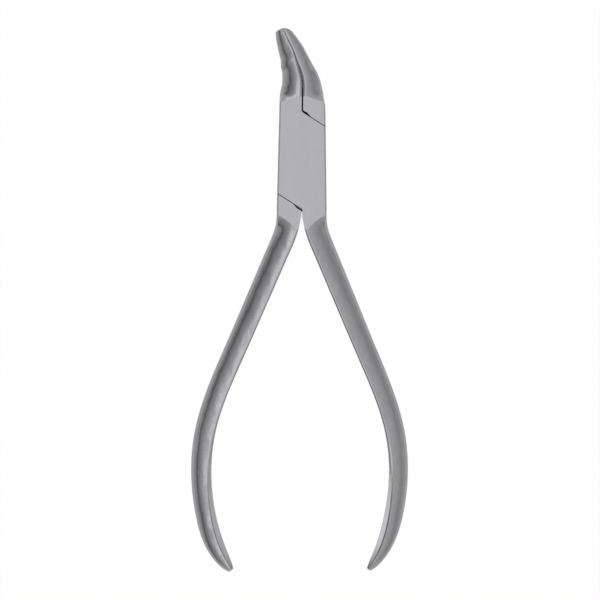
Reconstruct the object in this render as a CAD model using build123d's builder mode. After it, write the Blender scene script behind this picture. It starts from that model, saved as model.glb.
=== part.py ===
from build123d import *
from math import cos, floor, radians, sin, sqrt
import os

# Orthodontic utility pliers with bent, serrated jaws and a box joint.
# They lie flat: X across, Y from the pivot to the jaw tips, Z through the thickness.
# The origin is on the pivot axis, in the ground back face that the pliers rest on.
# All lengths are millimetres and all angles are degrees.

LEFT = -1
RIGHT = 1

# Box: the thick block at the pivot
box_thickness = 8.2
box_top = 13.1
box_bottom = 12.6
box_top_half_width = 5.9
box_bottom_half_width = 6.4
box_edge_break = 0.4
edge_break_overrun = 2.2

# Lap: the slanted shoulders where one half passes through the other
lap_distance = 10.45
lap_angle = 32
lap_clearance = 0.2
cheek_thickness = 2.55
side_clearance = 0.05
relief_length = 2.4
relief_depth = 0.42
relief_peak = 0.9
cheek_corner_radius = 0.8

# Joint pin, peened into the cheeks and ground flush
pin_diameter = 3.6
pin_running_clearance = 0.03
pin_head_flare = 0.45

# Jaws, measured along the seam between them
seam_gap = 0.4
tip_gap = 0.08
jaw_straight = 5.9
jaw_bend_radius = 11
jaw_bend_angle = 18
jaw_shank = 5.4
tip_bend_radius = 10
tip_bend_angle = 8
tip_straight = 5.9
tip_thickness = 2.9
tip_radius = 2.75
tip_centre_x = -4.75
tip_centre_y = 31.4
tip_round_start = 1.2
tip_bevel_start = 0.6
tip_bevel_height = 1.4
tip_bevel_width = 0.7
jaw_land = 0.35

# The seam is wide beside the box and closes along the jaws
gap_close_start = 8.5
gap_close_end = 16.2

# Serrations across the gripping faces: the teeth of one jaw mesh with those of the other
serration_pitch = 0.7
serration_depth = 0.24
tooth_stock = 0.3
parting_lead = 5

# Handles, measured along their centre lines
neck_straight = 0.3
neck_setback = 0.02
neck_radius = 19
flare_angle = 23
shank_length = 41.7
bow_radius = 54
bow_angle = 40
end_bend_radius = 26
tongue_handle_end_bend = 25
box_handle_end_bend = 23.7
tongue_handle_width = 5.9
tongue_handle_end_width = 4.9
box_handle_width = 5.85
box_handle_end_width = 4.45
handle_end_thickness = 4.6
tongue_handle_end_round = 12.5
box_handle_end_round = 16
handle_end_blunt = 0.5

# Cross-sections of jaws and handles, as they stand across their paths
edge_drop = 0.15
step_width = 0.3
step_drop = 0.2
crest_tilt = 8
shoulder_tilt = 48
shoulder_crease = 4
rim_tilt = 78
root_rim_tilt = 88
shoulder_width_share = 0.865
shoulder_height_share = 0.5

# Where a jaw runs out of the ground face: distances from the box
jaw_root_tilt = 3
jaw_round_start = 0.9
jaw_round_end = 4.5
jaw_excess = 0.9
jaw_dip = 0.1
jaw_excess_start = 1.2
jaw_excess_end = 4

# Where a handle runs out of the ground face: distances from the box
handle_root_tilt = 7
handle_round_start = 0
handle_round_end = 7
handle_excess = 1.1
handle_dip = 0.12
handle_excess_start = 0
handle_excess_end = 5.8

# Along a jaw: distance along the seam, width of the left jaw, width of the right jaw,
# as shares of the seam's length and of the half width of the box
jaw_shares = [
    (0, 1, 1),
    (0.04, 1, 0.987),
    (0.07, 1, 0.976),
    (0.105, 1, 0.962),
    (0.14, 0.998, 0.943),
    (0.17, 0.99, 0.924),
    (0.205, 0.972, 0.9),
    (0.24, 0.945, 0.87),
    (0.28, 0.912, 0.832),
    (0.35, 0.873, 0.765),
    (0.42, 0.838, 0.69),
    (0.53, 0.735, 0.6),
    (0.64, 0.645, 0.526),
    (0.71, 0.622, 0.48),
    (0.785, 0.574, 0.43),
    (0.86, 0.508, 0.38),
    (0.925, 0.435, 0.328),
    (1, 0.37, 0.275),
]

# Along a handle: growth of the land beside the inner edge, as shares of the handle's length
# and of its width
land_start_share = 0.55
land_narrow_share = 0.05
land_wide_share = 0.26

# Cross-sections along a handle, as shares of its length
handle_shares = (0, 0.016, 0.032, 0.05, 0.075, 0.115, 0.175, 0.265, 0.38, 0.5, 0.62, 0.74, 0.84,
                 0.91, 0.96, 0.985, 1)

overrun = 2
reach = 150
mid_height = box_thickness / 2


def between(first, last, share):
    """The value that lies a share of the way from first to last."""
    return first + share * (last - first)


def smooth(value, start, end):
    """Ease from 0 at start to 1 at end, level at both."""
    share = min(max((value - start) / (end - start), 0), 1)
    return share * share * (3 - 2 * share)


def limb_profile(plane, width, crest, root_tilt, roundness, land, step):
    """One cross-section: flat inner wall, narrow land, small step, domed flank."""
    shoulder_x = width * between(1, shoulder_width_share, roundness)
    root_drop = (shoulder_x - land - step_width) * sin(radians(root_tilt))
    round_drop = crest * (1 - shoulder_height_share)
    shoulder_y = crest - between(root_drop, round_drop, roundness)
    near_tilt = radians(between(root_tilt, shoulder_tilt - shoulder_crease / 2, roundness))
    far_tilt = radians(between(90, shoulder_tilt + shoulder_crease / 2, roundness))
    top_tilt = radians(between(root_tilt, crest_tilt, roundness))
    edge_tilt = radians(between(root_rim_tilt, rim_tilt, roundness))
    with BuildSketch(plane) as profile:
        with BuildLine():
            land_line = Line((0, crest - step - edge_drop), (land, crest - step))
            step_line = Line(land_line @ 1, (land + step_width, crest))
            flank = Spline(
                step_line @ 1,
                (shoulder_x, shoulder_y),
                tangents=[(cos(top_tilt), -sin(top_tilt)), (cos(near_tilt), -sin(near_tilt))],
            )
            Spline(
                flank @ 1,
                (width, 0),
                tangents=[
                    (cos(far_tilt), -sin(far_tilt)),
                    (cos(edge_tilt), -sin(edge_tilt)),
                ],
            )
            mirror(about=Plane.XZ)
            Line((0, crest - step - edge_drop), (0, edge_drop + step - crest))
        make_face()
    return profile.sketch


def seam_path():
    """The line that the closed jaws share, from the box to past the tips."""
    with BuildLine() as seam:
        straight = Line((0, box_top), (0, box_top + jaw_straight))
        bend = JernArc(straight @ 1, straight % 1, jaw_bend_radius, jaw_bend_angle)
        shank = PolarLine(bend @ 1, jaw_shank, direction=bend % 1)
        tip_bend = JernArc(shank @ 1, shank % 1, tip_bend_radius, tip_bend_angle)
        PolarLine(tip_bend @ 1, tip_straight, direction=tip_bend % 1)
    return seam.wire()


def handle_path(side):
    """Centre line of one handle, from the box to its end."""
    root_x = side * (box_bottom_half_width + seam_gap / 2) / 2
    end_bend_angle = tongue_handle_end_bend if side == LEFT else box_handle_end_bend
    with BuildLine() as path:
        root = Line((root_x, -box_bottom), (root_x, -box_bottom - neck_straight))
        neck = JernArc(root @ 1, root % 1, neck_radius, side * flare_angle)
        shank = PolarLine(neck @ 1, shank_length, direction=neck % 1)
        bow = JernArc(shank @ 1, shank % 1, bow_radius, -side * bow_angle)
        JernArc(bow @ 1, bow % 1, end_bend_radius, -side * end_bend_angle)
    return path.wire()


def station_plane(path, share, side, offset):
    """Plane across a path, with X pointing away from the middle of the pliers."""
    tangent = path % share
    across = tangent.cross(Vector(0, 0, 1)).normalized()
    if across.X * side < 0:
        across = -across
    point = path @ share + across * offset
    return Plane(point + Vector(0, 0, mid_height), x_dir=across, z_dir=tangent)


def jaw_solid(side):
    """One jaw, from the box to beyond the rounded tip."""
    seam = seam_path()
    with BuildPart() as jaw:
        for distance_share, left_share, right_share in jaw_shares:
            distance = distance_share * seam.length
            width_share = left_share if side == LEFT else right_share
            closing = smooth(distance, gap_close_start, gap_close_end)
            half_gap = between(seam_gap / 2, -tooth_stock / 2, closing)
            taper = (distance - jaw_excess_end) / (seam.length - jaw_excess_end)
            sinking = smooth(distance, jaw_excess_start, jaw_excess_end)
            excess = between(jaw_excess, -jaw_dip, sinking)
            add(
                limb_profile(
                    station_plane(seam, distance_share, side, half_gap),
                    width_share * box_top_half_width - half_gap,
                    between(box_thickness, tip_thickness, max(taper, 0)) / 2 + excess,
                    jaw_root_tilt,
                    smooth(distance, jaw_round_start, jaw_round_end),
                    jaw_land,
                    0,
                )
            )
        loft()
        add(ground_slab(), mode=Mode.INTERSECT)
    return jaw.part


def handle_solid(side, shank_width, end_width, end_round):
    """One handle, from the box to its blunt end."""
    path = handle_path(side)
    root_width = box_bottom_half_width - seam_gap / 2 - neck_setback
    with BuildPart() as handle:
        for share in handle_shares:
            distance = share * path.length
            to_end = path.length - distance + handle_end_blunt
            round_share = max(1 - to_end / end_round, 0)
            narrowing = sqrt(1 - round_share**2)
            roundness = smooth(distance, handle_round_start, handle_round_end)
            tapered_width = between(shank_width, end_width, share)
            width = narrowing * between(root_width, tapered_width, roundness)
            sinking = smooth(distance, handle_excess_start, handle_excess_end)
            excess = between(handle_excess, -handle_dip, sinking)
            taper = (distance - handle_excess_end) / (path.length - handle_excess_end)
            crest = between(box_thickness, handle_end_thickness, max(taper, 0)) / 2 + excess
            land_share = smooth(share, land_start_share, 1)
            add(
                limb_profile(
                    station_plane(path, share, side, -width / 2),
                    width,
                    crest * between(1 / 2, 1, narrowing),
                    handle_root_tilt,
                    roundness,
                    width * between(land_narrow_share, land_wide_share, land_share),
                    land_share * step_drop * narrowing,
                )
            )
        loft()
        add(ground_slab(), mode=Mode.INTERSECT)
    return handle.part


def block_solid():
    """The plain box before it is divided between the halves."""
    with BuildPart() as block:
        with BuildSketch():
            Polygon(
                (-box_top_half_width, box_top),
                (box_top_half_width, box_top),
                (box_bottom_half_width, -box_bottom),
                (-box_bottom_half_width, -box_bottom),
                align=None,
            )
        extrude(amount=box_thickness)
    return block.part


def lap_plan(side, wall_x, clearance, corner_radius):
    """Plan of the cheeks (right side) or tongue (left side): two corners are cut away."""
    slope = radians(lap_angle)
    far_x = side * (box_bottom_half_width + overrun)
    distance = lap_distance + clearance

    def line_point(x):
        return (x, (distance - side * x * sin(slope)) / cos(slope))

    with BuildSketch() as plan:
        with Locations((0, (box_top - box_bottom) / 2)):
            Rectangle(2 * (box_bottom_half_width + overrun), box_top + box_bottom)
        with BuildSketch(mode=Mode.PRIVATE) as corner:
            Polygon(
                line_point(wall_x),
                line_point(far_x),
                (far_x, box_top + 2 * overrun),
                (wall_x, box_top + 2 * overrun),
                align=None,
            )
            if corner_radius > 0:
                fillet(corner.vertices().sort_by_distance(line_point(wall_x))[0], corner_radius)
        add(corner.sketch, mode=Mode.SUBTRACT)
        add(corner.sketch, rotation=180, mode=Mode.SUBTRACT)
    return plan.sketch


def relief_plan():
    """Narrow wedges beside the two corners where the seams turn into the shoulders."""
    slope = radians(lap_angle)
    wall_x = seam_gap / 2
    corner = Vector(wall_x, (lap_distance + lap_clearance - wall_x * sin(slope)) / cos(slope))
    along = Vector(cos(slope), -sin(slope))
    across = Vector(sin(slope), cos(slope))
    with BuildSketch() as plan:
        with BuildSketch(mode=Mode.PRIVATE) as wedge:
            Polygon(
                corner,
                corner + along * relief_length,
                corner + along * relief_peak + across * relief_depth,
                corner + Vector(0, relief_depth),
                align=None,
            )
        add(wedge.sketch)
        add(wedge.sketch, rotation=180)
    return plan.sketch


def parting_plan(side):
    """What one half gives up along the closed jaws: all beyond a line with teeth."""
    seam = seam_path()
    half_pitch = serration_pitch / 2
    count = floor(tip_straight / half_pitch)
    teeth_start = seam.length - count * half_pitch
    bend_start = teeth_start - tip_bend_radius * radians(tip_bend_angle)
    stops = [(teeth_start - parting_lead, 0), (bend_start, 0), (teeth_start, 0)]
    for index in range(count):
        rise = serration_depth / 2 if index % 2 else -serration_depth / 2
        stops.append((teeth_start + (index + 1 / 2) * half_pitch, rise))
    line = []
    for distance, rise in stops:
        tangent = seam % (distance / seam.length)
        leftward = tangent.rotate(Axis.Z, 90)
        point = seam @ (distance / seam.length)
        line.append(point + leftward * (rise - side * tip_gap / 2))
    line.append(line[-1] + tangent * overrun)
    far_side = leftward * (side * overrun)
    with BuildSketch() as plan:
        Polygon(*line, line[-1] + far_side, line[0] + far_side, align=None)
    return plan.sketch


def tip_waste():
    """What lies outside the rounded end of the closed tips."""
    centre = Vector(tip_centre_x, tip_centre_y)
    with BuildPart() as waste:
        with BuildSketch():
            with Locations((tip_centre_x, tip_centre_y + tip_round_start)):
                Rectangle(4 * tip_radius, 2 * tip_radius, align=(Align.CENTER, Align.MIN))
        extrude(amount=box_thickness)
        with BuildSketch(Plane(centre, x_dir=(1, 0, 0), z_dir=(0, -1, 0))):
            with BuildLine():
                Polyline(
                    (0, mid_height),
                    (tip_radius, mid_height),
                    (tip_radius, mid_height + tip_bevel_start),
                    (tip_radius - tip_bevel_width, mid_height + tip_bevel_start + tip_bevel_height),
                    (0, mid_height + tip_bevel_start + tip_bevel_height),
                    close=True,
                )
            make_face()
            mirror(about=Plane.XZ.offset(-mid_height))
        revolve(axis=Axis(centre, (0, 0, 1)), mode=Mode.SUBTRACT)
    return waste.part


def ground_slab():
    """The space between the two ground faces."""
    with BuildPart() as slab:
        with BuildSketch():
            Rectangle(2 * reach, 2 * reach)
        extrude(amount=box_thickness)
    return slab.part


def edge_breaks():
    """Bars along the four long edges of the box, which leave narrow chamfers."""
    middle_x = (box_top_half_width + box_bottom_half_width) / 2
    middle_y = (box_top - box_bottom) / 2
    lean = Vector(box_top_half_width - box_bottom_half_width, box_top + box_bottom)
    bar_side = box_edge_break * sqrt(2)
    with BuildPart() as bars:
        for side in (LEFT, RIGHT):
            direction = Vector(side * lean.X, lean.Y)
            for level in (0, box_thickness):
                edge_middle = Vector(side * middle_x, middle_y, level)
                with BuildSketch(Plane(edge_middle, x_dir=(0, 0, 1), z_dir=direction)):
                    Rectangle(bar_side, bar_side, rotation=45)
                extrude(amount=lean.length / 2 + edge_break_overrun, both=True)
    return bars.part


left_jaw = jaw_solid(LEFT)
right_jaw = jaw_solid(RIGHT)
tongue_handle = handle_solid(
    LEFT, tongue_handle_width, tongue_handle_end_width, tongue_handle_end_round
)
box_handle = handle_solid(RIGHT, box_handle_width, box_handle_end_width, box_handle_end_round)
block = block_solid()
breaks = edge_breaks()
beyond_tips = tip_waste()

with BuildPart() as joint_pin:
    with BuildSketch(Plane.XZ):
        with BuildLine():
            Polyline(
                (0, 0),
                (pin_diameter / 2 + pin_head_flare, 0),
                (pin_diameter / 2, pin_head_flare),
                (pin_diameter / 2, box_thickness - pin_head_flare),
                (pin_diameter / 2 + pin_head_flare, box_thickness),
                (0, box_thickness),
                close=True,
            )
        make_face()
    revolve(axis=Axis.Z)

with BuildPart() as box_half:
    add(block)
    with BuildSketch():
        add(lap_plan(RIGHT, -seam_gap / 2, 0, cheek_corner_radius))
    extrude(amount=box_thickness, mode=Mode.INTERSECT)
    add(left_jaw)
    add(box_handle)
    with BuildSketch(Plane.XY.offset(cheek_thickness)):
        add(lap_plan(LEFT, -seam_gap / 2, lap_clearance, 0))
    extrude(amount=box_thickness - 2 * cheek_thickness, mode=Mode.SUBTRACT)
    with BuildSketch():
        add(parting_plan(LEFT))
    extrude(amount=box_thickness, mode=Mode.SUBTRACT)
    add(beyond_tips, mode=Mode.SUBTRACT)
    add(breaks, mode=Mode.SUBTRACT)
    add(joint_pin.part, mode=Mode.SUBTRACT)

with BuildPart() as tongue_half:
    add(block)
    with BuildSketch():
        add(lap_plan(LEFT, seam_gap / 2, 0, 0))
    extrude(amount=box_thickness, mode=Mode.INTERSECT)
    add(right_jaw)
    add(tongue_handle)
    for cheek_space in (
        Plane.XY.offset(-overrun),
        Plane.XY.offset(box_thickness - cheek_thickness - side_clearance),
    ):
        with BuildSketch(cheek_space):
            add(lap_plan(RIGHT, seam_gap / 2, lap_clearance, 0))
        extrude(amount=overrun + cheek_thickness + side_clearance, mode=Mode.SUBTRACT)
    with BuildSketch():
        add(relief_plan())
        add(parting_plan(RIGHT))
        Circle(pin_diameter / 2 + pin_running_clearance)
    extrude(amount=box_thickness, mode=Mode.SUBTRACT)
    add(beyond_tips, mode=Mode.SUBTRACT)
    add(breaks, mode=Mode.SUBTRACT)

os.makedirs("parts", exist_ok=True)
box_half.part.label = "box_half"
export_step(box_half.part, "parts/box_half.step")
tongue_half.part.label = "tongue_half"
export_step(tongue_half.part, "parts/tongue_half.step")
joint_pin.part.label = "joint_pin"
export_step(joint_pin.part, "parts/joint_pin.step")
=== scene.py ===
import bpy
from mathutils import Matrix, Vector


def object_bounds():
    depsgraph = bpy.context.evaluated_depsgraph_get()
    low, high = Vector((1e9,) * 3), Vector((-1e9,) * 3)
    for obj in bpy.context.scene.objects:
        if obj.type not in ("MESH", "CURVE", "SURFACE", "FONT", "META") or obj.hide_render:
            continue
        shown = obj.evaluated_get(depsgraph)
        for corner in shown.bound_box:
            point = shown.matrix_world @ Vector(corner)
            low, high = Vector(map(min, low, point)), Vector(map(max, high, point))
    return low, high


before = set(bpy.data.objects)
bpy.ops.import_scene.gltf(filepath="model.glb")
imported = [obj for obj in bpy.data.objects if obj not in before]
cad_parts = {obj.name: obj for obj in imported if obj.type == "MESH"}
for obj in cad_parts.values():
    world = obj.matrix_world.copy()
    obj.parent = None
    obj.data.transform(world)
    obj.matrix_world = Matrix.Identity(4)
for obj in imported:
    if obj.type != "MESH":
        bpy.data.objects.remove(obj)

# Lengths are metres and angles radians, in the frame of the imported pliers:
# X across, Y from the pivot to the jaw tips, Z through the thickness.
cad_low, cad_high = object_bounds()

MILLIMETRE = 0.001
middle = (Vector(cad_low) + Vector(cad_high)) / 2
half_thickness = (cad_high[2] - cad_low[2]) / 2
tips = cad_high[1]
crotch = -13 * MILLIMETRE

# Camera, straight above the pliers. The view is as wide as the photo's is at their real size,
# and the sensor's width is in Blender's own millimetres.
camera_distance = 0.9
view_width = 154.4 * MILLIMETRE
view_shift = Vector((-0.18, 0.09, 0)) * MILLIMETRE
view_turn = 0.007
sensor_width = 36

# Marks in the steel, as streaks or spots per millimetre along X, Y and Z. Hairline scratches
# lie at an angle, and only the peaks of their noise show.
satin_streaks = (9, 2.5, 9)
lapped_streaks = (22, 0.9, 22)
hairline_streaks = (30, 0.5, 30)
hairline_turn = 0.5
hairline_peaks = (0.74, 0.82)
cloud_spots = (0.22, 0.12, 0.22)
patch_spots = (1.1, 0.5, 1.1)
wave_spots = (0.3, 0.14, 0.3)
noise_mean = 0.5

# How much each mark changes the steel's tone and its roughness
plain_tone = 0.83
cloud_tone = 0.12
streak_tone = 0.14
hairline_tone = 0.12
patch_tone = 0.18
ground_tone = 0.04
streak_roughness = 0.08
cloud_roughness = 0.1

# Heights in the steel's surface
wave_height = 0.1 * MILLIMETRE
streak_height = 0.006 * MILLIMETRE
hairline_depth = 0.003 * MILLIMETRE

# Where the ground faces end: how far below the face, and how level the surface is
ground_depths = (0.06 * MILLIMETRE, 0.02 * MILLIMETRE)
ground_levels = (0.995, 0.999)

# Painted shade on the steel in the seams: dark below the first openness, and untouched above the
# second
painted_seam_shade_reach = 0.9 * MILLIMETRE
painted_seam_shade_opening = (0.1, 0.9)

# Floor: shaded below the first openness, and white above the second. A shade zone starts at one
# place along the pliers, is full at the next, and takes its last number from the openness.
floor_width = 3
paper_colour = (0.8, 0.8, 0.8, 1)
white_to_camera = 0.98
white_in_steel = 0.3
shade_reach = 9 * MILLIMETRE
white_opening = (0.02, 0.08)
shade_zones = [
    (crotch, crotch + 0.4 * MILLIMETRE, 0.22),
    (tips - 15 * MILLIMETRE, tips - 3 * MILLIMETRE, 0.24),
    (crotch - 17 * MILLIMETRE, crotch - 37 * MILLIMETRE, 0.26),
]

# Studio light: how bright it is from the left (0) over straight above (0.5) to the right (1).
# A broad soft light hangs overhead, brightest to the left of the pliers, above a narrow dark
# strip on that side, and the right side falls off to grey.
light_stops = [
    (0, 0.6),
    (0.04, 0.5),
    (0.085, 0.1),
    (0.12, 0.32),
    (0.2, 0.47),
    (0.27, 0.6),
    (0.325, 1.35),
    (0.38, 1.35),
    (0.43, 1.05),
    (0.48, 1),
    (0.56, 0.98),
    (0.64, 0.82),
    (0.73, 0.68),
    (0.84, 0.56),
    (0.91, 0.45),
    (1, 0.62),
]


class Wire:
    """The output of a shader node, which Python's operators join to Math nodes."""

    def __init__(self, tree, socket=None):
        self.tree = tree
        self.socket = socket

    def node(self, kind, settings=None, values=None, output=0):
        """Add a node: settings come first, then the value or link of each input."""
        made = self.tree.nodes.new("ShaderNode" + kind)
        for name, setting in (settings or {}).items():
            if name == "stops":
                ramp = made.color_ramp
                while len(ramp.elements) < len(setting):
                    ramp.elements.new(1)
                for element, (place, level) in zip(ramp.elements, setting):
                    element.position = place
                    element.color = (level, level, level, 1)
            else:
                setattr(made, name, setting)
        for name, value in (values or {}).items():
            if isinstance(value, Wire):
                self.tree.links.new(value.socket, made.inputs[name])
            else:
                made.inputs[name].default_value = value
        return Wire(self.tree, made.outputs[output]) if made.outputs else None

    def maths(self, operation, *terms):
        """Add a Math node on wires and numbers."""
        return self.node("Math", {"operation": operation}, dict(enumerate(terms)))

    def __add__(self, other):
        return self.maths("ADD", self, other)

    def __radd__(self, other):
        return self.maths("ADD", other, self)

    def __sub__(self, other):
        return self.maths("SUBTRACT", self, other)

    def __rsub__(self, other):
        return self.maths("SUBTRACT", other, self)

    def __mul__(self, other):
        return self.maths("MULTIPLY", self, other)

    def __rmul__(self, other):
        return self.maths("MULTIPLY", other, self)

    def __abs__(self):
        return self.maths("ABSOLUTE", self)

    def step(self, low, high):
        """Ease from 0 at low to 1 at high."""
        settings = {"interpolation_type": "SMOOTHSTEP"}
        return self.node("MapRange", settings, {"Value": self, "From Min": low, "From Max": high})


def new_tree(owner):
    """An empty node tree in a material or a world, as a wire to build it from."""
    owner.use_nodes = True
    owner.node_tree.nodes.clear()
    return Wire(owner.node_tree)


def scaled(wire, vector, factor):
    """A vector or a colour times a number."""
    return wire.node("VectorMath", {"operation": "SCALE"}, {"Vector": vector, "Scale": factor})


def component(wire, vector, letter):
    """The X, Y or Z of a vector."""
    return wire.node("SeparateXYZ", values={"Vector": vector}, output=letter)


def openness(wire, samples, reach):
    """1 in the open, and less where something stands within reach."""
    return wire.node("AmbientOcclusion", {"samples": samples}, {"Distance": reach}, output="AO")


def grain(wire, place, marks, detail, turn=0):
    """Noise that is stretched into marks, so many per millimetre."""
    stretch = {"Vector": place, "Scale": marks, "Rotation": (0, 0, turn)}
    mapped = wire.node("Mapping", values=stretch)
    return wire.node("TexNoise", values={"Vector": mapped, "Scale": 1, "Detail": detail})


def ground_faces(wire, metres):
    """1 on the two ground faces, and 0 on the domed flanks and inside the joint."""
    off_middle = abs(component(wire, metres, "Z") - middle.z)
    level = abs(component(wire, wire.node("TexCoord", output="Normal"), "Z"))
    start, full = (half_thickness - depth for depth in ground_depths)
    return off_middle.step(start, full) * level.step(*ground_levels)


def steel(name, colour, flank_roughness, ground_roughness):
    """Satin steel with ground faces, a fine lengthwise grain and a few hairline scratches."""
    material = bpy.data.materials.new(name)
    wire = new_tree(material)
    metres = wire.node("TexCoord", output="Object")
    place = scaled(wire, metres, 1 / MILLIMETRE)
    ground = ground_faces(wire, metres)
    flank = 1 - ground

    satin = grain(wire, place, satin_streaks, detail=3)
    lapped = grain(wire, place, lapped_streaks, detail=2)
    streaks = satin + ground * (lapped - satin)
    hairlines = grain(wire, place, hairline_streaks, detail=0, turn=hairline_turn)
    hairlines = hairlines.step(*hairline_peaks)
    cloud = grain(wire, place, cloud_spots, detail=4)
    patches = flank * (grain(wire, place, patch_spots, detail=3) - noise_mean)
    waves = flank * (grain(wire, place, wave_spots, detail=1) - noise_mean)

    tone = plain_tone + cloud_tone * cloud + streak_tone * streaks + hairline_tone * hairlines
    tone = tone + patch_tone * patches + ground_tone * ground
    # Painted shade: the steel's tone is darkened where the seams close it in
    tone = tone * openness(wire, samples=8, reach=painted_seam_shade_reach).step(*painted_seam_shade_opening)
    rough = flank_roughness + (ground_roughness - flank_roughness) * ground
    rough = rough + streak_roughness * (streaks - noise_mean)
    rough = rough + cloud_roughness * (cloud - noise_mean)
    relief = wave_height * waves + streak_height * streaks - hairline_depth * hairlines
    bumped = wire.node("Bump", values={"Strength": 1, "Distance": 1, "Height": relief})
    finish = {
        "Base Color": scaled(wire, colour, tone),
        "Metallic": 1,
        "Roughness": rough,
        "Normal": bumped,
    }
    shader = wire.node("BsdfPrincipled", values=finish)
    wire.node("OutputMaterial", values={"Surface": shader})
    return material


def pale_paper(name):
    """Paper that is white to the camera, and shaded only in the gaps and under the pliers."""
    material = bpy.data.materials.new(name)
    wire = new_tree(material)
    opening = openness(wire, samples=16, reach=shade_reach)
    along = component(wire, wire.node("TexCoord", output="Object"), "Y")
    for start, full, shade in shade_zones:
        opening = opening - shade * along.step(start, full)
    seen = wire.node("LightPath", output="Is Camera Ray")
    mirrored = wire.node("LightPath", output="Is Glossy Ray")
    passed = wire.node("LightPath", output="Is Transmission Ray")
    white = white_to_camera * seen + white_in_steel * (mirrored + passed)
    share = white * opening.step(*white_opening)

    paper = wire.node("BsdfDiffuse", values={"Color": paper_colour})
    glow = wire.node("Emission", values={"Color": (1, 1, 1, 1), "Strength": 1})
    both = wire.node("MixShader", values={0: share, 1: paper, 2: glow})
    wire.node("OutputMaterial", values={"Surface": both})
    return material


def studio_light(name):
    """Light that changes from left to right, and a background that is white to the camera."""
    world = bpy.data.worlds.new(name)
    wire = new_tree(world)
    across = component(wire, wire.node("TexCoord", output="Generated"), "X")
    light = wire.node("ValToRGB", {"stops": light_stops}, {0: 0.5 + 0.5 * across})
    seen = wire.node("LightPath", output="Is Camera Ray")
    level = light + seen * (1 - light)
    shine = wire.node("Background", values={"Color": level, "Strength": 1})
    wire.node("OutputWorld", values={"Surface": shine})
    return world


# Camera
camera_data = bpy.data.cameras.new("photo_camera")
camera_data.sensor_width = sensor_width
camera_data.lens = sensor_width * camera_distance / view_width
camera = bpy.data.objects.new("photo_camera", camera_data)
camera.location = middle + view_shift + Vector((0, 0, camera_distance))
camera.rotation_euler = (0, 0, view_turn)
bpy.context.scene.collection.objects.link(camera)
bpy.context.scene.camera = camera

# Pliers: box half, tongue half and pin are of one steel
satin_steel = steel(
    "satin_steel", colour=(0.438, 0.434, 0.456), flank_roughness=0.17, ground_roughness=0.2
)
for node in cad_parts.values():
    for slot in node.material_slots:
        slot.material = satin_steel

# Floor, under the lower ground face
side = floor_width / 2
corners = [(-side, -side, 0), (side, -side, 0), (side, side, 0), (-side, side, 0)]
floor_mesh = bpy.data.meshes.new("studio_floor")
floor_mesh.from_pydata(corners, [], [(0, 1, 2, 3)])
floor_mesh.materials.append(pale_paper("pale_floor"))
floor = bpy.data.objects.new("studio_floor", floor_mesh)
floor.location = (0, 0, cad_low[2])
bpy.context.scene.collection.objects.link(floor)

# Light and colours
bpy.context.scene.world = studio_light("studio")
bpy.context.scene.view_settings.view_transform = "Standard"
